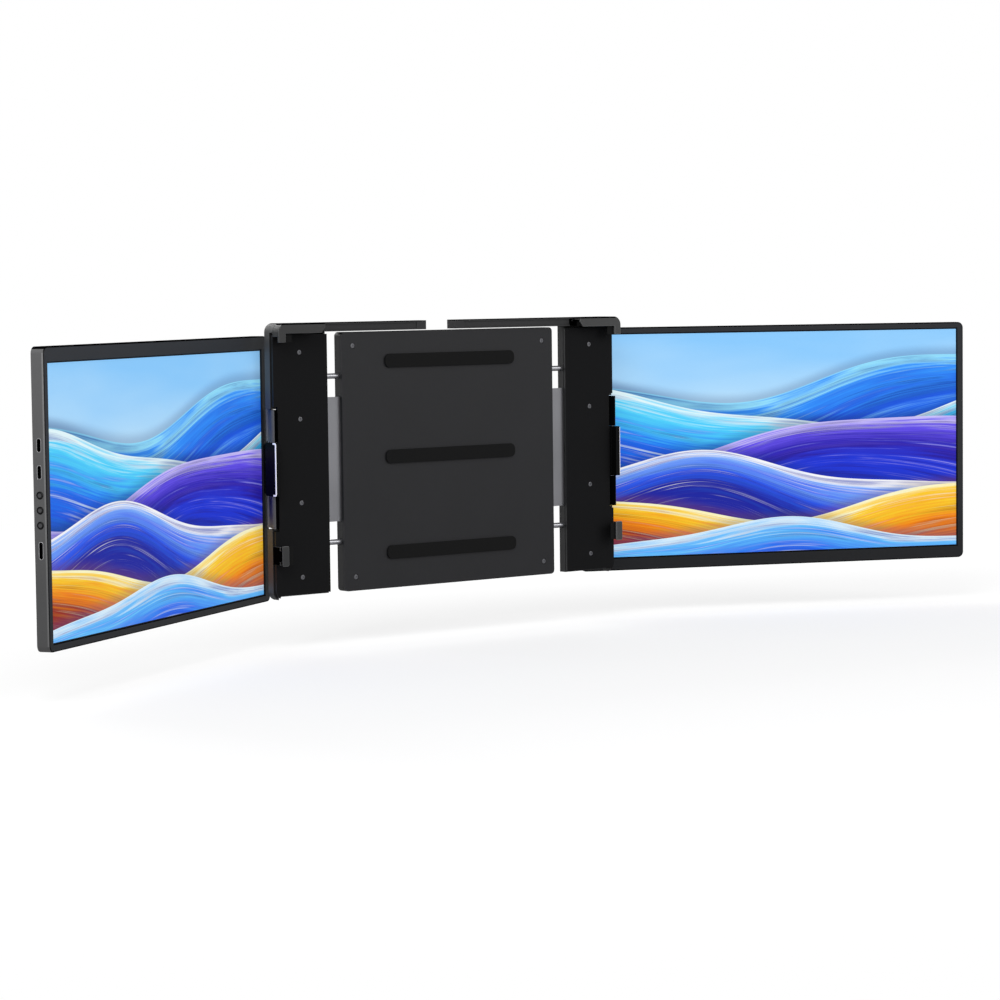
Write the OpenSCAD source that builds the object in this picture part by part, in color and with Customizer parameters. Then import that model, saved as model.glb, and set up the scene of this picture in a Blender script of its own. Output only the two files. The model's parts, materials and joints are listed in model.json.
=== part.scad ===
// Two-monitor screen extender that hangs on a laptop lid.
// Millimetres. +X right, +Y away from the user, +Z up.
// Origin: centre of the middle pad that the back of the lid rests on.
// The rest pose is the pose in use: both side monitors turned towards the user.

/* [Side monitors] */
// Width of the lit picture area
display_w = 309.9; // [290:0.1:330]
// Height of the lit picture area
display_h = 174.3; // [165:0.1:186]
// Border from the picture to the monitor's outer side
side_bezel = 5.8; // [4:0.05:8]
// Border from the picture to the monitor's hinge side
hinge_bezel = 9.2; // [8.8:0.1:12]
// Narrow border along one long edge
thin_bezel = 5.5; // [4.5:0.1:8]
// Wide border along the other long edge
thick_bezel = 10.4; // [8:0.1:14]
// Unlit black edge of the display, seen inside the bezel
dark_edge = 0.9; // [0.5:0.1:1.2]
// Thickness of a side monitor
monitor_t = 9.0; // [8.8:0.1:9.2]
// Radius of a monitor's corners
monitor_corner_r = 4.5; // [3:0.5:7]
// Side wall of the monitor's rear shell
monitor_wall = 1.6; // [1.4:0.1:1.8]
// Back wall of the monitor's rear shell
monitor_back_wall = 1.5; // [1.3:0.1:1.6]
// Thickness of the black front bezel
bezel_t = 1.0; // [0.8:0.1:1.1]
// Thickness of the display glass
glass_t = 1.2; // [0.9:0.1:1.2]
// Thickness of the backlight plate
backlight_t = 0.8; // [0.6:0.1:0.8]

/* [Pose in use] */
// Turn of the left monitor towards the user
left_turn = 31.0; // [20:0.1:40]
// Turn of the right monitor towards the user
right_turn = 22.2; // [12:0.1:30]
// Height of the monitors' centre above the origin
monitor_z = -5.4; // [-8:0.1:0]

/* [Frame] */
// Width over both frame halves in the pose in use
frame_w = 317.6; // [312:0.1:326]
// Height of the frame
frame_h = 197.6; // [194:0.1:204]
// Depth from the seat plane to the back of the frame
frame_d = 10.3; // [10.2:0.1:11]
// Radius of the frame's outer corners
frame_corner_r = 6.5; // [5:0.5:9]
// Width of the part of a column that reaches lowest
column_foot_w = 4.5; // [4:0.5:14]
// How far that part reaches below the rest of the frame
column_foot_drop = 2.6; // [1.5:0.1:3.5]
// Width of a frame half beside the centre housing
half_w = 48; // [46:0.5:50]
// Width of the centre housing
centre_w = 196; // [180:1:196]
// Wall of the frame's shells
frame_wall = 1.5; // [1.3:0.1:1.6]
// Height of a top bar
bar_h = 6.6; // [6:0.1:7]
// End of the left top bar, left of the origin
left_bar_end = 22.5; // [18:0.5:30]
// End of the right top bar, right of the origin
right_bar_end = 4.8; // [4:0.1:20]
// Thickness of the front plates
plate_t = 1.9; // [1.7:0.1:2.0]
// Thickness of the rubber pads under the lid
seat_pad_t = 1.4; // [1.2:0.1:1.5]

/* [Lid grips] */
// Room between the seat and a grip's pad, for the lid
lid_room = 5.6; // [5:0.1:6.5]
// Thickness of a grip's front lip
lip_t = 1.6; // [1.4:0.1:2]
// Thickness of a grip's rubber pad
grip_pad_t = 0.8; // [0.6:0.1:1]
// Length of a corner hook along the top
hook_len = 40.3; // [34:0.1:44]
// Height of a hook's lip
lip_h = 7.2; // [6.9:0.1:10]
// Reach of a hook's leg below its lip
leg_drop = 6.3; // [4:0.1:8]
// Width of a hook's leg
leg_w = 6.1; // [5:0.1:7]
// Height of a side clip
clip_h = 14.5; // [12:0.5:18]
// Width of a side clip's face
clip_face_w = 6.1; // [5.6:0.1:7]
// Height of a side clip's centre below the origin
clip_drop = 66.3; // [62:0.1:72]

/* [Hinges] */
// Radius of a hinge knuckle
knuckle_r = 2.3; // [2.2:0.1:2.6]
// Radius of a hinge pin
pin_r = 1.2; // [1:0.1:1.3]
// Radial running clearance on a hinge pin
pin_clear = 0.05; // [0.03:0.01:0.08]
// Height of a hinge arm's knuckle
knuckle_h = 23; // [18:0.5:26]
// Gap between the upper and the lower arm
knuckle_gap = 38.6; // [34:0.2:42]
// Distance between the pins of a left hinge arm
left_arm = 17.0; // [16.6:0.1:18]
// Distance between the pins of a right hinge arm
right_arm = 25.6; // [25:0.1:27]
// Angle of a left arm from the frame's face in the pose in use
left_arm_angle = 68.2; // [64:0.1:72]
// Angle of a right arm from the frame's face in the pose in use
right_arm_angle = 77.9; // [74:0.1:80]
// Thickness of an arm's web
arm_web_t = 2.4; // [2:0.1:3]
// Height of the hinges' centre above the monitors' centre
hinge_rise = 0.6; // [0:0.1:1]

/* [Slides] */
// Radius of a guide rod
rod_r = 2.0; // [1.8:0.1:2]
// Running clearance of a guide rod in its block
rod_clear = 0.05; // [0.03:0.01:0.08]
// Distance of the guide rods from the middle height
rod_z = 60; // [58:1:74]
// Length of a guide rod
rod_len = 72; // [66:1:72]
// Height of the tongue that joins a half to the centre
tongue_h = 90; // [70:1:96]

/* [Kickstand] */
// Width of the kickstand
stand_w = 72; // [60:1:72]
// Length of the kickstand below its pin
stand_len = 98; // [80:1:98]
// Thickness of the kickstand
stand_t = 1.8; // [1.6:0.1:1.9]
// Height of the kickstand's pin above the origin
stand_pin_z = 12; // [8:1:24]
// Radius of the kickstand's pin
stand_pin_r = 1.0; // [0.8:0.1:1]
// Radius of the kickstand's barrel
stand_barrel_r = 1.5; // [1.5:0.1:1.6]

/* [Ports and buttons] */
// Height of the first charging socket, from the monitor's middle
usb_z1 = -34.0; // [-36:0.1:-30]
// Height of the second charging socket
usb_z2 = -17.3; // [-20:0.1:-14]
// Height of the picture socket
hdmi_z = 31.5; // [29:0.1:36]
// Height of the lowest button
button_z = -3.0; // [-4:0.1:0]
// Spacing of the buttons
button_pitch = 9.35; // [8:0.05:10]
// Radius of a button's cap
button_r = 2.0; // [1.7:0.1:2]
// How far a button's cap stands out, which is also its travel
button_travel = 0.3; // [0.2:0.05:0.4]
// Length of a charging socket's mouth
usb_w = 8.9; // [8.4:0.1:9.2]
// Length of the picture socket's mouth
hdmi_w = 11.2; // [10.6:0.1:11.6]
// Height of a socket's mouth across the thickness
socket_h = 3.2; // [3:0.1:3.2]

/* [Hidden] */
$fn = 48;

// Colours
dark_grey = [0.23, 0.23, 0.24];
mid_grey = [0.34, 0.34, 0.35];
black = [0.05, 0.05, 0.055];
rubber_black = [0.03, 0.03, 0.03];
steel = [0.72, 0.72, 0.74];
board_green = [0.05, 0.2, 0.12];
screen_blue = [0.15, 0.4, 0.85];

// Small values shared by several pieces
gap = 0.3;              // clear gap between pieces that move past each other
cut = 1;                // how far a cutting solid runs past a face
past = 40;              // how far an outline runs past the end where another shape cuts it off
half_frame_w = frame_w / 2;
half_frame_h = frame_h / 2;
hinge_z = monitor_z + hinge_rise;

// Depths (Y) of the frame's layers, from the seat plane backwards
plate_y0 = seat_pad_t;
plate_y1 = plate_y0 + plate_t;
seam_t = 0.6;           // open seam seen between a front plate and its shell
shell_y0 = plate_y1 + seam_t;
shell_y1 = frame_d;
lip_y1 = -lid_room - grip_pad_t;
lip_y0 = lip_y1 - lip_t;

// Frame half (right side; the left one is its mirror image)
half_x0 = half_frame_w - half_w;
bar_z0 = half_frame_h - bar_h;
low_z = -half_frame_h + column_foot_drop;
plate_edge_x = half_frame_w - 1.0;
plate_top_z = bar_z0 - 1.6;
bar_cap_len = 8;        // plain end of a top bar, beside its channel

// Recess in a column for the hinge: its inner wall slants, as an arm does when it leans in furthest
hinge_zone = knuckle_gap / 2 + knuckle_h + 0.4;
plate_zone = hinge_zone + 1.6;
plate_cut_x = half_frame_w - 4.5;
recess_front_x = half_frame_w - 5.2;
recess_slope = 0.6;
function recess_x(y) = recess_front_x - recess_slope * (y - shell_y0);

// Hinge pins: frame pin, and monitor pin at the far end of an arm
frame_pin_x = half_frame_w - 1.1;
frame_pin_y = 1.5;
block_x1 = half_frame_w + 1.2;
block_y0 = -4.2;
block_y1 = frame_d - 0.8;
block_front_x = half_frame_w - 2.4;
trim_w = 1.2;
trim_t = 0.4;
trim_return = 4;

// The monitor pin, in a monitor's own frame
// (x outward from the hinge-side edge, y backward from the bezel's face)
monitor_pin_x = 4.4;
monitor_pin_y = -3.0;

monitor_w = hinge_bezel + display_w + side_bezel;
monitor_h = display_h + thin_bezel + thick_bezel;
display_z = (thick_bezel - thin_bezel) / 2;
rim_inset = 0.7;        // metal rim seen around the black bezel
rim_y = 0.3;            // the rim lies this far behind the bezel's face
glass_over = 1.0;       // glass hidden behind the bezel on each side
glass_y0 = bezel_t;
backlight_y0 = glass_y0 + glass_t;
cavity_y1 = monitor_t - monitor_back_wall;
socket_y = 4.7;         // middle of sockets and buttons across the thickness
board_t = 0.8;
board_y0 = socket_y + socket_h / 2;
board_reach = 62;
board_x0 = monitor_w - board_reach;
board_x1 = monitor_w - monitor_wall - 1.6;
board_half_h = 48;
socket_depth = 7.3;
socket_wall = 0.3;
flange_r = button_r + 0.6;
flange_t = 0.9;
ring_r = button_r + 0.45;
ring_depth = 0.4;
bracket_t = 1.4;
bracket_foot = 16;
bracket_half_h = 18;
bracket_x1 = -gap;      // the bracket wraps round the monitor's edge
bracket_x0 = bracket_x1 - bracket_t;
bracket_y0 = 5.0;
bracket_y1 = bracket_y0 + bracket_t;
screw_r = 1.0;
screw_head_r = 1.8;
screw_head_t = 0.8;
head_seat_y = plate_y0 + screw_head_t + 0.2;
bracket_screw_x = [5.5, 12.5];
bracket_screw_z = [-12, 12];
boss_r = 3;
screw_reach = 4;        // how far a frame screw goes into its boss

// Kickstand recess in the centre shell's back
centre_half_w = centre_w / 2;
centre_top_z = bar_z0 - 0.7;
recess_floor_y = frame_d - 3.1;
stand_pin_y = frame_d - stand_barrel_r;
stand_y1 = frame_d - 0.1;
stand_y0 = stand_y1 - stand_t;
stand_recess_x = stand_w / 2 + 0.5;
stand_recess_top = stand_pin_z + stand_barrel_r + 0.6;
stand_foot_h = 4;
stand_recess_bottom = stand_pin_z - stand_len - stand_foot_h - 4;
centre_cavity_y1 = frame_d - frame_wall;

// Screws of the front plates
centre_screw_x = [-centre_half_w + 10, centre_half_w - 10];
centre_screw_z = [low_z + 10, centre_top_z - 10];
half_screw_x = [half_x0 + 24];
half_screw_z = [low_z + 13, hinge_z - 25, hinge_z + 35, half_frame_h - 21];

// Slides
rod_y = (shell_y0 + centre_cavity_y1) / 2;
rod_x1 = half_x0 + 12;
rod_x0 = rod_x1 - rod_len;
boss_half = 4.5;
block_len = 20;
tongue_t = 1.2;
tongue_y0 = shell_y0 + gap;
tongue_x0 = centre_half_w - 34;
tongue_x1 = half_x0 + 12;

// Clip
clip_z = -clip_drop;
clip_x0 = half_frame_w - clip_face_w;
clip_corner_r = 1.2;
clip_arm_t = 1.8;
clip_arm_half = clip_h / 2 - 0.7;
clip_pad_over = 4.4;    // rubber seen beside the clip's face

// Hook
web_t = 1.8;
hook_x0 = half_frame_w - hook_len;
lip_cut_w = 3;          // slanting cut at the lip's lower inner corner
lip_cut_h = 4;
side_web_drop = 9.5;

// Pocket in the top bar beside the hook, and the screw in it
pocket_x0 = hook_x0 - 4;
pocket_x1 = hook_x0 + lip_cut_w + 0.5;
pocket_y1 = 5;
pocket_top = half_frame_h - 1;
pocket_screw_x = hook_x0 + 2.2;
pocket_screw_z = half_frame_h - 2.1;
pocket_screw_r = 0.6;
pocket_screw_head_r = 1.0;
pocket_screw_reach = 3;

// Where each monitor's inner edge lies, worked out from its hinge arm.
// a: arm length, b: arm angle, t: monitor turn, for the right side.
function arm_end(a, b) = [frame_pin_x - a * cos(b), frame_pin_y + a * sin(b)];
function inner_edge(a, b, t) =
  arm_end(a, b) - monitor_pin_x * [cos(t), -sin(t)] - monitor_pin_y * [sin(t), cos(t)];
left_edge = inner_edge(left_arm, left_arm_angle, left_turn);
right_edge = inner_edge(right_arm, right_arm_angle, right_turn);

// ---------- shared shapes ----------

// A flat shape drawn in X and Z, made solid from depth y0 to y1
module slab(y0, y1) {
  translate([0, y1, 0])
    rotate([90, 0, 0])
      linear_extrude(y1 - y0)
        children();
}

// Rectangle with round corners, from (x0, z0) to (x1, z1)
module round_rect(x0, z0, x1, z1, r) {
  translate([x0 + r, z0]) square([x1 - x0 - 2 * r, z1 - z0]);
  translate([x0, z0 + r]) square([x1 - x0, z1 - z0 - 2 * r]);
  for (x = [x0 + r, x1 - r], z = [z0 + r, z1 - r])
    translate([x, z]) circle(r);
}

module rect(x0, z0, x1, z1) {
  translate([x0, z0]) square([x1 - x0, z1 - z0]);
}

module block(p0, p1) {
  translate(p0) cube(p1 - p0);
}

// A round rod along Y with its middle at (x, z)
module rod_y_axis(x, z, y0, y1, r) {
  translate([x, y1, z]) rotate([90, 0, 0]) cylinder(r = r, h = y1 - y0);
}

module rod_x_axis(y, z, x0, x1, r) {
  translate([x0, y, z]) rotate([0, 90, 0]) cylinder(r = r, h = x1 - x0);
}

// The same rod at every crossing of columns xs and rows zs
module screw_rods(xs, zs, y0, y1, r) {
  for (x = xs, z = zs) rod_y_axis(x, z, y0, y1, r);
}

// Countersunk through holes in a front plate, and the screws in them
module plate_screw_holes(xs, zs) {
  screw_rods(xs, zs, plate_y0 - cut, shell_y0 + cut, screw_r + 0.1);
  screw_rods(xs, zs, plate_y0 - cut, head_seat_y, screw_head_r + 0.1);
}

module plate_screws(xs, zs) {
  screw_rods(xs, zs, head_seat_y, shell_y0 + screw_reach, screw_r);
  screw_rods(xs, zs, head_seat_y - screw_head_t, head_seat_y, screw_head_r);
}

// Places a right-hand frame piece on side s (-1 left, 1 right)
module on_side(s) {
  mirror([s < 0 ? 1 : 0, 0, 0]) children();
}

// Places a monitor piece. The monitors are the same part:
// the left one is turned upside down about its own viewing axis.
module on_monitor(s) {
  if (s < 0)
    translate([-left_edge.x, left_edge.y, monitor_z])
      rotate([0, 0, left_turn])
        rotate([0, 180, 0])
          children();
  else
    translate([right_edge.x, right_edge.y, monitor_z])
      rotate([0, 0, -right_turn])
        children();
}

// ---------- centre housing ----------

module centre_outline(inset) {
  round_rect(-centre_half_w + inset, low_z + inset,
             centre_half_w - inset, centre_top_z - inset, 3 - inset / 2);
}

module stand_recess_shape(grow) {
  rect(-stand_recess_x - grow, stand_recess_bottom - grow,
       stand_recess_x + grow, stand_recess_top + grow);
}

module centre_shell() {
  color(dark_grey)
  difference() {
    slab(shell_y0, shell_y1) centre_outline(0);
    // Hollow inside, kept clear of the kickstand's recess
    difference() {
      slab(shell_y0 - cut, centre_cavity_y1) centre_outline(frame_wall);
      slab(recess_floor_y - frame_wall, shell_y1) stand_recess_shape(frame_wall);
      screw_rods(centre_screw_x, centre_screw_z, shell_y0, shell_y1, boss_r);
    }
    slab(recess_floor_y, shell_y1 + cut) stand_recess_shape(0);
    rod_x_axis(stand_pin_y, stand_pin_z, -stand_recess_x - frame_wall,
               stand_recess_x + frame_wall, stand_pin_r);
    // Ways in for the guide rods and tongues of both halves
    for (s = [-1, 1]) on_side(s) {
      for (z = [-rod_z, rod_z])
        rod_x_axis(rod_y, z, centre_half_w - frame_wall - cut, centre_half_w + cut, rod_r + gap);
      block([centre_half_w - frame_wall - cut, shell_y0 - cut, -tongue_h / 2 - gap],
            [centre_half_w + cut, tongue_y0 + tongue_t + gap, tongue_h / 2 + gap]);
    }
    screw_rods(centre_screw_x, centre_screw_z, shell_y0 - cut, shell_y0 + screw_reach, screw_r);
  }
}

module centre_plate() {
  color(mid_grey)
  difference() {
    slab(plate_y0, shell_y0) centre_outline(0);
    plate_screw_holes(centre_screw_x, centre_screw_z);
  }
}

module centre_screws() {
  color(steel) plate_screws(centre_screw_x, centre_screw_z);
}

module seat_pads() {
  pad_spacing = 70;
  pad_half_w = 60;
  pad_half_h = 5;
  color(rubber_black)
  for (z = [-pad_spacing, 0, pad_spacing])
    slab(0, seat_pad_t) round_rect(-pad_half_w, z - pad_half_h, pad_half_w, z + pad_half_h, 4);
}

module guide_blocks() {
  color(black)
  for (s = [-1, 1]) on_side(s)
    for (z = [-rod_z, rod_z])
      difference() {
        block([centre_half_w - frame_wall - block_len, shell_y0, z - boss_half],
              [centre_half_w - frame_wall, centre_cavity_y1, z + boss_half]);
        rod_x_axis(rod_y, z, 0, centre_half_w, rod_r + rod_clear);
      }
}

module kickstand() {
  color(mid_grey)
  difference() {
    union() {
      slab(stand_y0, stand_y1)
        round_rect(-stand_w / 2, stand_pin_z - stand_len, stand_w / 2, stand_pin_z, 1);
      rod_x_axis(stand_pin_y, stand_pin_z, -stand_w / 2, stand_w / 2, stand_barrel_r);
    }
    rod_x_axis(stand_pin_y, stand_pin_z, -stand_w, stand_w, stand_pin_r + pin_clear);
  }
}

module kickstand_pin() {
  color(steel)
  rod_x_axis(stand_pin_y, stand_pin_z, -stand_recess_x - frame_wall,
             stand_recess_x + frame_wall, stand_pin_r);
}

module kickstand_foot() {
  color(rubber_black)
  slab(stand_y0, stand_y1)
    rect(-stand_w / 2 + 3, stand_pin_z - stand_len - stand_foot_h,
         stand_w / 2 - 3, stand_pin_z - stand_len);
}

// ---------- frame half (right side) ----------

// Outline of the whole half, without its top bar. The column reaches lower than the rest.
module half_outline(inset) {
  intersection() {
    round_rect(half_x0 - past, -half_frame_h + inset, half_frame_w - inset, half_frame_h - inset,
               frame_corner_r - inset);
    union() {
      rect(half_x0 + inset, low_z + inset, half_frame_w, half_frame_h);
      rect(half_frame_w - column_foot_w + inset, -half_frame_h, half_frame_w, half_frame_h);
    }
  }
}

module hinge_recess(grow) {
  z0 = hinge_z - hinge_zone - grow;
  translate([0, 0, z0])
    linear_extrude(2 * (hinge_zone + grow))
      polygon([[recess_x(0) - grow, 0], [half_frame_w + 10, 0], [half_frame_w + 10, frame_d + cut],
               [recess_x(frame_d + cut) - grow, frame_d + cut]]);
}

module bar_outline(bar_end) {
  intersection() {
    round_rect(bar_end - past, half_frame_h - past, half_frame_w, half_frame_h, frame_corner_r);
    rect(bar_end, bar_z0, half_frame_w, half_frame_h);
  }
}

module side_shell(bar_end) {
  color(dark_grey)
  difference() {
    union() {
      difference() {
        slab(shell_y0, shell_y1) half_outline(0);
        difference() {
          slab(shell_y0 - cut, shell_y1 - frame_wall) difference() {
            half_outline(frame_wall);
            rect(half_x0, bar_z0, half_frame_w, half_frame_h);
            for (z = [-rod_z, rod_z])
              rect(half_x0, z - boss_half, rod_x1 + frame_wall, z + boss_half);
            for (x = half_screw_x, z = half_screw_z) translate([x, z]) circle(boss_r);
          }
          hinge_recess(frame_wall);
        }
        hinge_recess(0);
      }
      slab(0, shell_y1) bar_outline(bar_end);
    }
    screw_rods(half_screw_x, half_screw_z, shell_y0 - cut, shell_y0 + screw_reach, screw_r);
    for (z = [-rod_z, rod_z])
      rod_x_axis(rod_y, z, half_x0 - cut, rod_x1, rod_r);
    block([half_x0 - cut, shell_y0 - cut, -tongue_h / 2],
          [half_x0 + frame_wall + cut, tongue_y0 + tongue_t, tongue_h / 2]);
    // Channel along the bar's face, and the pocket beside the hook
    slab(-cut, 0.7) rect(bar_end + bar_cap_len, bar_z0 + 1.1, pocket_x0 + cut, half_frame_h - 1.4);
    slab(-cut, pocket_y1) rect(pocket_x0, bar_z0 - cut, pocket_x1, pocket_top);
    rod_y_axis(pocket_screw_x, pocket_screw_z, pocket_y1 - cut, pocket_y1 + pocket_screw_reach,
               pocket_screw_r);
  }
}

module seat_plate() {
  color(dark_grey)
  difference() {
    union() {
      slab(plate_y0, plate_y1) plate_outline(0);
      slab(plate_y1, shell_y0) plate_outline(1.4);
      block([half_x0 + 3, shell_y0, -tongue_h / 2 + 6],
            [tongue_x1, tongue_y0, tongue_h / 2 - 6]);
    }
    plate_screw_holes(half_screw_x, half_screw_z);
    // Notch for the side clip's arm
    block([half_frame_w - clip_arm_t - 0.1, plate_y0 - cut, clip_z - clip_arm_half - 0.1],
          [half_frame_w + cut, shell_y0 + cut, clip_z + clip_arm_half + 0.1]);
  }
}

module frame_screws() {
  color(steel) {
    plate_screws(half_screw_x, half_screw_z);
    rod_y_axis(pocket_screw_x, pocket_screw_z, pocket_y1 - 1.2, pocket_y1, pocket_screw_head_r);
    rod_y_axis(pocket_screw_x, pocket_screw_z, pocket_y1, pocket_y1 + pocket_screw_reach,
               pocket_screw_r);
  }
}

module plate_outline(inset) {
  difference() {
    intersection() {
      round_rect(half_x0 - past, -half_frame_h + 1 + inset, plate_edge_x - inset,
                 plate_top_z + past, frame_corner_r - inset);
      union() {
        rect(half_x0 + inset / 4, low_z + 1 + inset, plate_edge_x, plate_top_z);
        rect(half_frame_w - column_foot_w + inset, -half_frame_h, plate_edge_x, plate_top_z);
      }
    }
    rect(plate_cut_x, hinge_z - plate_zone, half_frame_w, hinge_z + plate_zone);
  }
}

// Shape of the hook's lip, seen from the front
module hook_front() {
  lip_z0 = half_frame_h - lip_h;
  intersection() {
    round_rect(hook_x0 - past, half_frame_h - past, half_frame_w, half_frame_h, frame_corner_r);
    union() {
      polygon([[hook_x0, half_frame_h], [hook_x0, lip_z0 + lip_cut_h], [hook_x0 + lip_cut_w, lip_z0],
               [half_frame_w, lip_z0], [half_frame_w, half_frame_h]]);
      rect(half_frame_w - leg_w, lip_z0 - leg_drop, half_frame_w, half_frame_h);
    }
  }
}

// Band of the hook that runs over the lid's top and side edges
module hook_band() {
  difference() {
    intersection() {
      round_rect(hook_x0 - past, half_frame_h - past, half_frame_w, half_frame_h, frame_corner_r);
      rect(hook_x0 + 0.6, half_frame_h - side_web_drop, half_frame_w, half_frame_h);
    }
    round_rect(hook_x0 - 2 * past, half_frame_h - 2 * past, half_frame_w - web_t,
               half_frame_h - web_t, frame_corner_r - web_t);
  }
}

module corner_hook() {
  color(mid_grey) {
    slab(lip_y0, lip_y1) hook_front();
    slab(lip_y1, 0) hook_band();
  }
}

module hook_pad() {
  inside = half_frame_w - web_t;
  pad_top = half_frame_h - web_t;
  pad_x0 = hook_x0 + lip_cut_w;
  color(rubber_black) {
    // Liner between the lid's top edge and the hook's top
    slab(lip_y1, 0)
      intersection() {
        round_rect(hook_x0 - past, half_frame_h - past, inside, pad_top, frame_corner_r - web_t);
        rect(pad_x0, bar_z0 + 0.1, inside, pad_top);
      }
    // Facing behind the lip and in the corner beside the leg
    slab(lip_y1, lip_y1 + grip_pad_t) {
      rect(pad_x0, half_frame_h - lip_h + 0.3, inside - 3, bar_z0 + 0.1);
      rect(half_frame_w - 2 * leg_w, half_frame_h - lip_h - leg_drop, inside, bar_z0 + 0.1);
    }
  }
}

module side_clip() {
  color(mid_grey) {
    slab(lip_y0, lip_y1)
      round_rect(clip_x0, clip_z - clip_h / 2, half_frame_w, clip_z + clip_h / 2, clip_corner_r);
    block([half_frame_w - clip_arm_t, lip_y1, clip_z - clip_arm_half + 2.7],
          [half_frame_w, shell_y0, clip_z + clip_arm_half - 2.7]);
    block([half_frame_w - clip_arm_t, lip_y1 + 1.5, clip_z - clip_arm_half],
          [half_frame_w, shell_y0, clip_z + clip_arm_half]);
  }
}

module clip_pad() {
  inside = half_frame_w - clip_arm_t;
  color(rubber_black) {
    slab(lip_y1, lip_y1 + grip_pad_t)
      rect(clip_x0 - clip_pad_over, clip_z - clip_arm_half, inside, clip_z + clip_arm_half);
    block([inside - grip_pad_t, lip_y1 + grip_pad_t, clip_z - clip_arm_half],
          [inside, plate_y0, clip_z + clip_arm_half]);
  }
}

module guide_rods() {
  color(steel)
  for (z = [-rod_z, rod_z])
    rod_x_axis(rod_y, z, rod_x0, rod_x1, rod_r);
}

module slide_tongue() {
  color(steel)
  block([tongue_x0, tongue_y0, -tongue_h / 2], [tongue_x1, tongue_y0 + tongue_t, tongue_h / 2]);
}

// ---------- hinge (right side) ----------

// Half the height of the middle zone, between the two arms
mid_zone = knuckle_gap / 2 - gap;
bracket_zone = mid_zone - hinge_rise;

module hinge_block() {
  color(black)
  difference() {
    translate([0, 0, hinge_z - mid_zone])
      linear_extrude(2 * mid_zone)
        polygon([[block_front_x, block_y0], [block_x1, block_y0], [block_x1, block_y1],
                 [recess_x(block_y1), block_y1], [recess_front_x, shell_y0],
                 [plate_cut_x + 0.2, shell_y0], [plate_cut_x + 0.2, plate_y0],
                 [block_front_x, plate_y0]]);
    translate([frame_pin_x, frame_pin_y, hinge_z - mid_zone - cut])
      cylinder(r = pin_r, h = 2 * (mid_zone + cut));
  }
}

// Bright C-shaped edging on the block's outer side
module hinge_trim() {
  color(steel)
  translate([block_x1, 0, hinge_z])
    rotate([0, 90, 0])
      linear_extrude(trim_t)
        difference() {
          intersection() {
            round_rect(-mid_zone, block_y0, mid_zone, block_y0 + past, 1.6);
            rect(-mid_zone, block_y0, mid_zone, block_y0 + trim_return);
          }
          round_rect(-mid_zone + trim_w, block_y0 + trim_w, mid_zone - trim_w,
                     block_y0 + past, 0.8);
        }
}

module hinge_pin(x, y) {
  pin_half = knuckle_gap / 2 + knuckle_h;
  color(steel)
  translate([x, y, hinge_z - pin_half]) cylinder(r = pin_r, h = 2 * pin_half);
}

module hinge_arms(arm, angle) {
  far = arm_end(arm, angle);
  web_inset = knuckle_r - 0.5;   // the web starts inside the knuckle's wall
  color(dark_grey)
  for (z = [knuckle_gap / 2, -knuckle_gap / 2 - knuckle_h])
    translate([0, 0, hinge_z + z])
      difference() {
        union() {
          for (p = [[frame_pin_x, frame_pin_y], far])
            translate(p) cylinder(r = knuckle_r, h = knuckle_h);
          translate(far)
            rotate([0, 0, -angle])
              translate([web_inset, -arm_web_t / 2, 0])
                cube([arm - 2 * web_inset, arm_web_t, knuckle_h]);
        }
        for (p = [[frame_pin_x, frame_pin_y], far])
          translate([p.x, p.y, -cut])
            cylinder(r = pin_r + pin_clear, h = knuckle_h + 2 * cut);
      }
}

// ---------- monitor, in its own frame ----------

module monitor_outline(inset) {
  round_rect(inset, -monitor_h / 2 + inset, monitor_w - inset, monitor_h / 2 - inset,
             monitor_corner_r - inset);
}

module socket_hole(z, w) {
  translate([0, 0, z])
    rotate([90, 0, 90])
      linear_extrude(monitor_w + cut)
        round_rect(socket_y - socket_h / 2, -w / 2, socket_y + socket_h / 2, w / 2,
                   socket_h / 2 - 0.01);
}

module monitor_shell() {
  color(dark_grey)
  difference() {
    slab(rim_y, monitor_t) monitor_outline(0);
    slab(0, bezel_t) monitor_outline(rim_inset);
    difference() {
      slab(0, cavity_y1) monitor_outline(monitor_wall);
      // Bosses under the circuit board and under the hinge bracket
      for (x = [board_x0 + 5, board_x1 - 7], z = [-board_half_h + 5, board_half_h - 5])
        rod_y_axis(x, z, board_y0 + board_t, monitor_t, 2.4);
      block([monitor_wall, bracket_y1, -bracket_half_h],
            [bracket_foot, monitor_t, bracket_half_h]);
    }
    // Slot for the hinge bracket, and holes for its screws
    block([-cut, bracket_y0, -bracket_half_h], [monitor_wall + cut, bracket_y1, bracket_half_h]);
    for (x = bracket_screw_x, z = bracket_screw_z)
      rod_y_axis(x, z, bracket_y0, monitor_t - 0.5, screw_r);
    intersection() {
      union() {
        socket_hole(usb_z1, usb_w);
        socket_hole(usb_z2, usb_w);
        socket_hole(hdmi_z, hdmi_w);
      }
      block([monitor_w - monitor_wall - cut, 0, -monitor_h], [monitor_w + cut, monitor_t, monitor_h]);
    }
    for (i = [0 : 2]) {
      rod_x_axis(socket_y, button_z + i * button_pitch, monitor_w - monitor_wall - cut,
                 monitor_w + cut, button_r + pin_clear);
      rod_x_axis(socket_y, button_z + i * button_pitch, monitor_w - ring_depth,
                 monitor_w + cut, ring_r);
    }
  }
}

// The lit picture area, grown on every side
module display_area(grow) {
  rect(hinge_bezel - grow, display_z - display_h / 2 - grow,
       hinge_bezel + display_w + grow, display_z + display_h / 2 + grow);
}

module bezel() {
  color(black)
  difference() {
    slab(0, bezel_t) monitor_outline(rim_inset);
    slab(-cut, bezel_t + cut) display_area(dark_edge);
  }
}

module display_glass() {
  color(screen_blue)
  slab(glass_y0, glass_y0 + glass_t) display_area(dark_edge + glass_over);
}

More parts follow.
